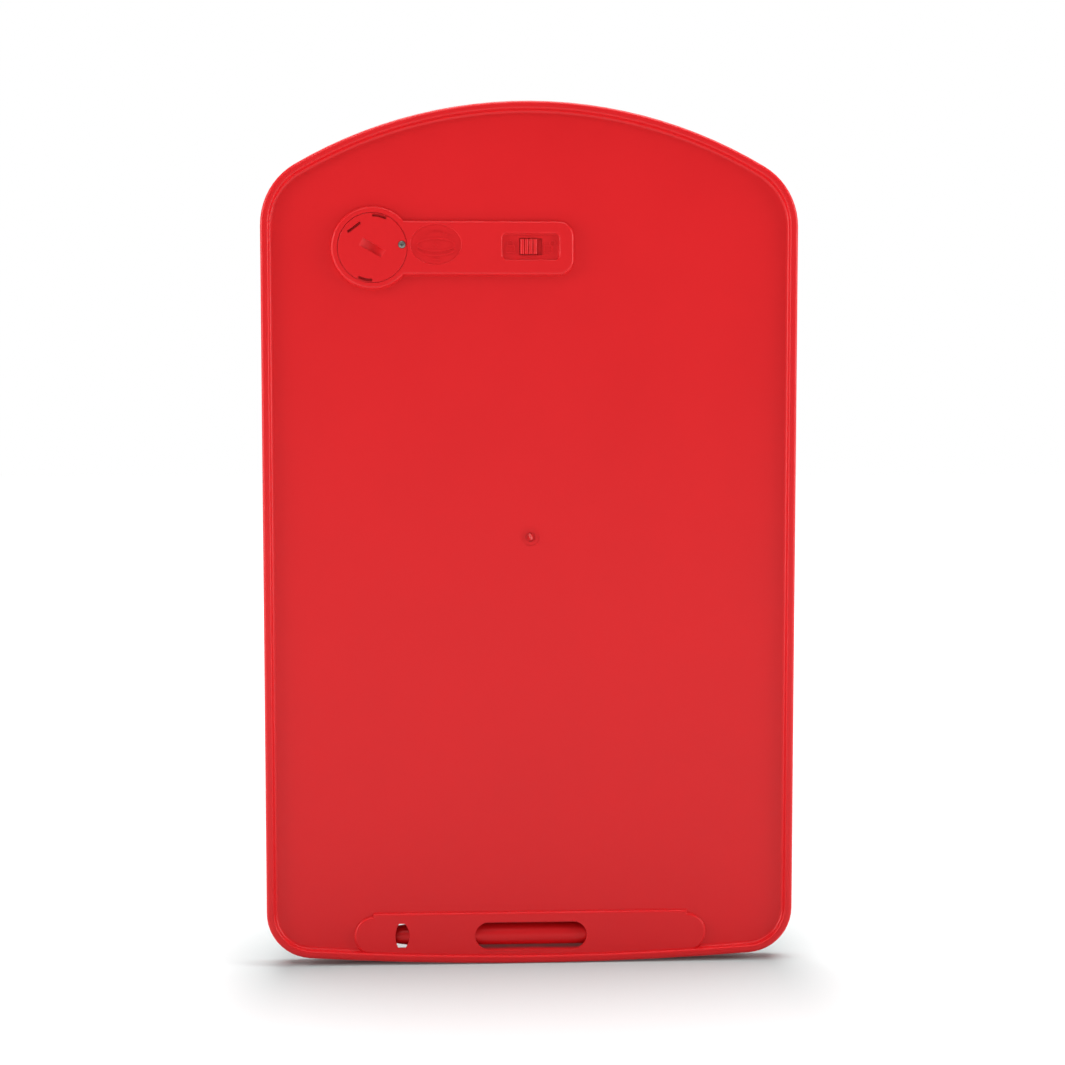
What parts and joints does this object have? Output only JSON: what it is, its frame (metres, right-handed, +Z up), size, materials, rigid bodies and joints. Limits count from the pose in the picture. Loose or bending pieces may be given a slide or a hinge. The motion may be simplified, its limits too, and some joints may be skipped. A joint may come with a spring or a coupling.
{
  "type": "lcd writing tablet",
  "caption": "Arched writing tablet in a two-piece moulded case, with a round coin-cell door, a lock slide switch, an erase button and a stylus in a tray along its bottom edge.",
  "frame": {"origin": "The middle of the bounding box's bottom face, under the bottom edge that the tablet stands on.", "axes": "+Z up the height of the tablet, +X to the right when looking at its back, -Y out of the back, +Y out of the screen."},
  "size_m": [0.188, 0.0104, 0.305],
  "materials": {
    "red_abs": "satin-gloss moulded ABS",
    "dark_pom": "turned acetal",
    "lcd_film": "smooth PET film over liquid crystal",
    "black_film": "matt black PET",
    "grey_board": "foamed PVC board",
    "adhesive": "double-sided tape",
    "flex": "polyimide film with printed tracks",
    "black_plastic": "moulded thermoplastic",
    "green_board": "solder resist on glass epoxy",
    "zinc_steel": "zinc plated",
    "black_epoxy": "cast epoxy",
    "ceramic": "sintered ceramic",
    "ferrite": "sintered ferrite",
    "steel_shell": "tinned sheet steel",
    "nickel_steel": "nickel plated",
    "nylon": "moulded nylon",
    "red_pvc": "extruded PVC",
    "black_pvc": "extruded PVC"
  },
  "bodies": {
    "case": {"rear_cover": "red_abs", "front_bezel": "red_abs", "writing_film": "lcd_film", "black_backing_sheet": "black_film", "support_board": "grey_board", "adhesive_frame": "adhesive", "film_lead": "flex", "film_connector": "black_plastic", "circuit_board": "green_board", "board_screws": "zinc_steel", "chip_blob": "black_epoxy", "chip_capacitors": "ceramic", "chip_resistors": "black_plastic", "inductor": "ferrite", "diode": "black_plastic", "tact_switch": "steel_shell", "slide_switch_shell": "steel_shell", "slide_switch_base": "black_plastic", "coin_cell_can": "nickel_steel", "coin_cell_gasket": "nylon", "coin_cell_cap": "nickel_steel", "negative_contact": "nickel_steel", "positive_contact": "nickel_steel", "red_lead": "red_pvc", "black_lead": "black_pvc"},
    "lock_slider": {"lock_knob": "red_abs", "slide_switch_actuator": "black_plastic"},
    "erase_key": {"erase_button": "red_abs"},
    "tact_plunger": {"tact_switch_plunger": "black_plastic"},
    "door": {"battery_door": "red_abs"},
    "door_screw": {"door_screw": "zinc_steel"},
    "screw_ring": {"screw_keeper_ring": "nylon"},
    "stylus": {"stylus_barrel": "red_abs", "stylus_tip": "dark_pom", "stylus_cap": "red_abs"}
  },
  "joints": [
    {"name": "lock_slide", "type": "slide", "parent": "case", "child": "lock_slider", "axis": [1, 0, 0], "range_m": [0, 0.0015]},
    {"name": "erase_press", "type": "slide", "parent": "case", "child": "erase_key", "axis": [0, -1, 0], "range_m": [0, 0.0005], "stiffness_N_per_m": 1200},
    {"name": "plunger_press", "type": "slide", "parent": "case", "child": "tact_plunger", "axis": [0, -1, 0], "range_m": [0, 0.0005]},
    {"name": "door_turn", "type": "hinge", "parent": "case", "child": "door", "pos_m": [-0.0552, 0, 0.2541], "axis": [0, -1, 0], "range_deg": [0, 35]},
    {"name": "door_screw_back", "type": "slide", "parent": "door", "child": "door_screw", "axis": [0, -1, 0], "range_m": [0, 0.0015]},
    {"name": "screw_ring_back", "type": "slide", "parent": "door", "child": "screw_ring", "axis": [0, -1, 0], "range_m": [0, 0.0015]},
    {"name": "stylus_lift", "type": "slide", "parent": "case", "child": "stylus", "axis": [0, 1, 0], "range_m": [0, 0.03]}
  ],
  "couplings": [
    {"joint": "plunger_press", "follows": "erase_press", "ratio": 1},
    {"joint": "screw_ring_back", "follows": "door_screw_back", "ratio": 1}
  ]
}
